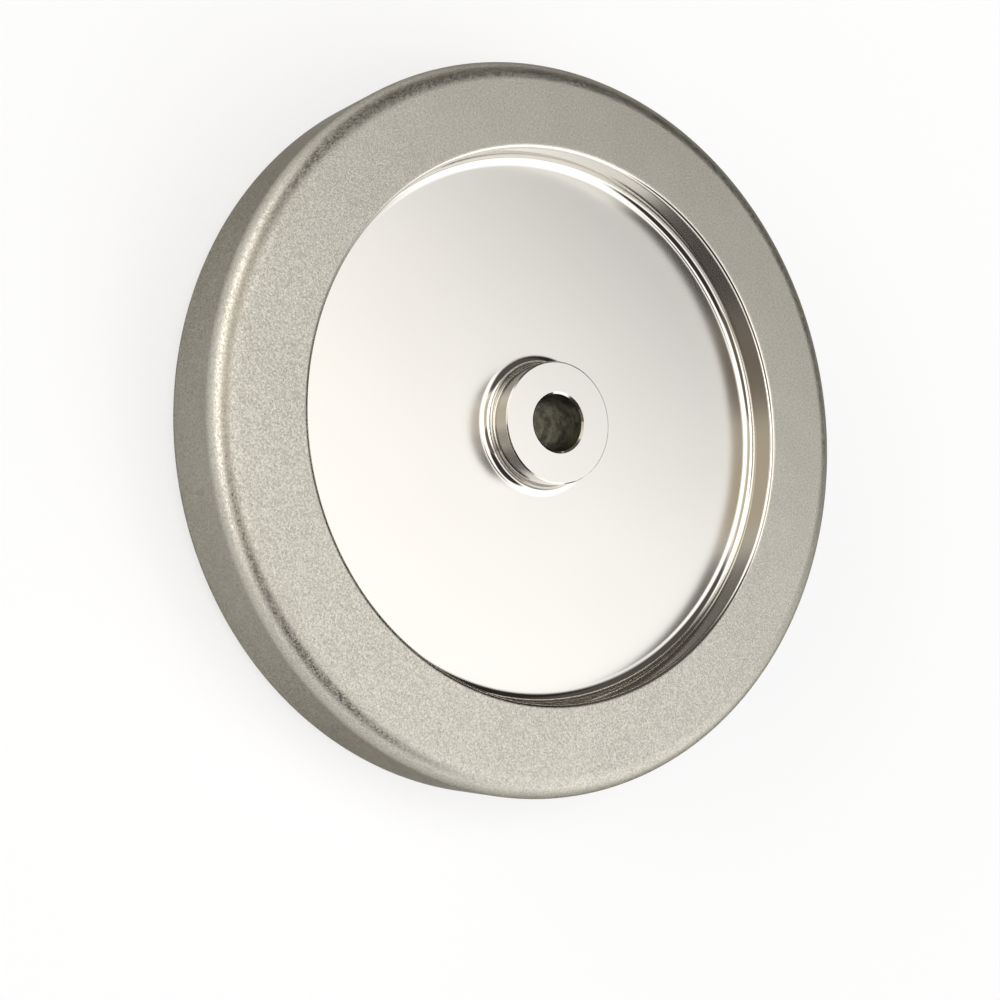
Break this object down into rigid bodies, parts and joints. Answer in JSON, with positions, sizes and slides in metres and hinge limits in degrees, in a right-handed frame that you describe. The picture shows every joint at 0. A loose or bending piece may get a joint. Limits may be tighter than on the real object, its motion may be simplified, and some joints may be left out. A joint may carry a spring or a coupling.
{
  "type": "cbn grinding wheel",
  "caption": "Round steel grinding wheel with a grit-plated rim and side bands, rounded rim corners, a polished recess on each side and a bored hub.",
  "frame": {"origin": "on the bore's axis, in the plane of the back side band that the wheel lies on", "axes": "+Z along the bore's axis, out of the front side"},
  "size_m": [0.2032, 0.2032, 0.0318],
  "materials": {
    "plated_steel": "satin nickel-bonded grit on the rim and side bands, polished nickel plate in the recesses and on the hub, bare steel in the bore"
  },
  "bodies": {
    "root": {"grinding_wheel": "plated_steel"}
  },
  "joints": []
}
